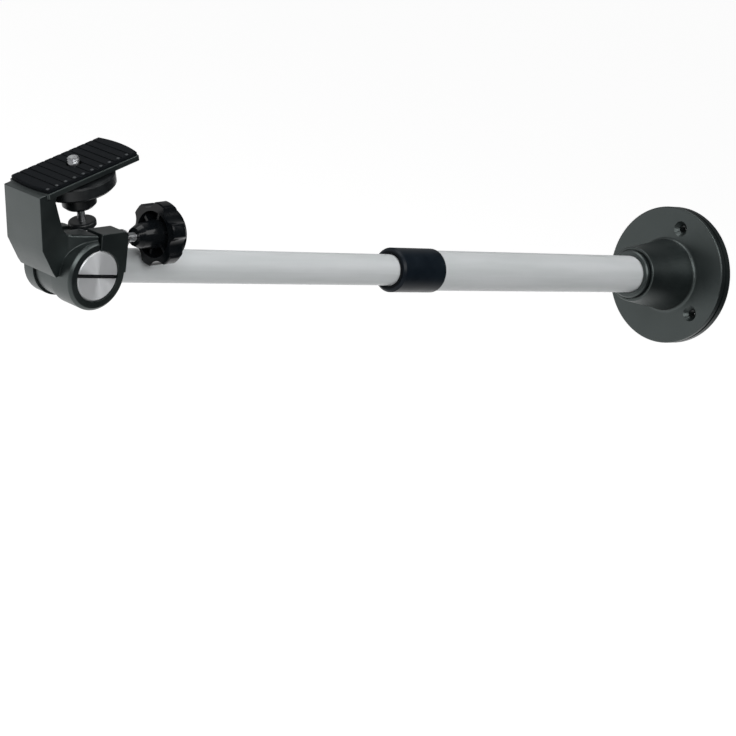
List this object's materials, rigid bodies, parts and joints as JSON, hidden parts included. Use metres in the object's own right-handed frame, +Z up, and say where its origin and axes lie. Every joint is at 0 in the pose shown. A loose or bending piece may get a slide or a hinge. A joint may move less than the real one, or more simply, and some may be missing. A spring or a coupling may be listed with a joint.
{
  "type": "camera wall bracket",
  "caption": "Telescopic camera wall bracket: round wall flange, sliding arm with a lock collar, and a tilting head with a clamp knob and a camera screw.",
  "frame": {"origin": "centre of the wall flange's back face, on the arm's axis", "axes": "+X into the wall, the arm runs out along -X, +Z up, -Y is the side of the clamp"},
  "size_m": [0.5894, 0.0946, 0.1142],
  "materials": {
    "casting": "satin powder coat on a casting",
    "ring_metal": "satin",
    "tube_paint": "light grey satin paint",
    "collar_black": "black anodised, satin",
    "turned_aluminium": "faced on a lathe",
    "steel": "zinc plated",
    "knob_plastic": "black, glossy",
    "wheel_plastic": "black, satin",
    "rubber": "black",
    "nylon": "natural",
    "brass": "turned"
  },
  "bodies": {
    "root": {"wall_flange": "casting", "hub_ring": "ring_metal", "hub_grub_screws": "steel", "outer_tube": "tube_paint", "collet": "nylon"},
    "collar": {"lock_collar": "collar_black", "wiper_ring": "rubber"},
    "slider": {"guide_bush": "nylon"},
    "arm": {"inner_tube": "tube_paint", "bush_pin": "steel", "knuckle": "casting", "knuckle_pin": "steel", "knuckle_washers": "steel", "pivot_shaft": "turned_aluminium", "shaft_key_screw": "steel", "shaft_washer": "steel", "shaft_screw": "steel"},
    "head": {"head_bracket": "casting", "camera_pad": "rubber"},
    "clamp_feed": {"clamp_washer": "steel"},
    "clamp": {"clamp_stud": "steel", "clamp_knob": "knob_plastic", "knob_cap": "knob_plastic"},
    "wheel_feed": {"wheel_washer": "steel"},
    "wheel": {"lock_wheel": "wheel_plastic", "wheel_insert": "brass"},
    "screw": {"camera_screw": "steel", "screw_knob": "wheel_plastic"}
  },
  "joints": [
    {"name": "collar_turn", "type": "hinge", "parent": "root", "child": "collar", "pos_m": [-0.277, 0, 0], "axis": [1, 0, 0], "range_deg": [0, 180]},
    {"name": "arm_slide", "type": "slide", "parent": "root", "child": "slider", "axis": [1, 0, 0], "range_m": [-0.07, 0.15]},
    {"name": "arm_twist", "type": "hinge", "parent": "slider", "child": "arm", "pos_m": [-0.2, 0, 0], "axis": [1, 0, 0], "continuous": true},
    {"name": "head_tilt", "type": "hinge", "parent": "arm", "child": "head", "pos_m": [-0.548, 0, 0], "axis": [0, -1, 0], "range_deg": [0, 100]},
    {"name": "clamp_advance", "type": "slide", "parent": "head", "child": "clamp_feed", "axis": [0.9914, 0, 0.1305], "range_m": [0, 0.00121]},
    {"name": "clamp_turn", "type": "hinge", "parent": "clamp_feed", "child": "clamp", "pos_m": [-0.55021, -0.0173, 0.01675], "axis": [0.9914, 0, 0.1305], "range_deg": [0, 540]},
    {"name": "wheel_advance", "type": "slide", "parent": "head", "child": "wheel_feed", "axis": [-0.3907, 0, 0.9205], "range_m": [-0.00255, 0]},
    {"name": "wheel_turn", "type": "hinge", "parent": "wheel_feed", "child": "wheel", "pos_m": [-0.55481, 0, 0.04599], "axis": [-0.3907, 0, 0.9205], "range_deg": [-720, 0]},
    {"name": "screw_turn", "type": "hinge", "parent": "head", "child": "screw", "pos_m": [-0.54895, 0, 0.03219], "axis": [-0.3907, 0, 0.9205], "continuous": true}
  ],
  "couplings": [
    {"joint": "clamp_advance", "follows": "clamp_turn", "m_per_rad": 0.00012732},
    {"joint": "wheel_advance", "follows": "wheel_turn", "m_per_rad": 0.00020213}
  ]
}
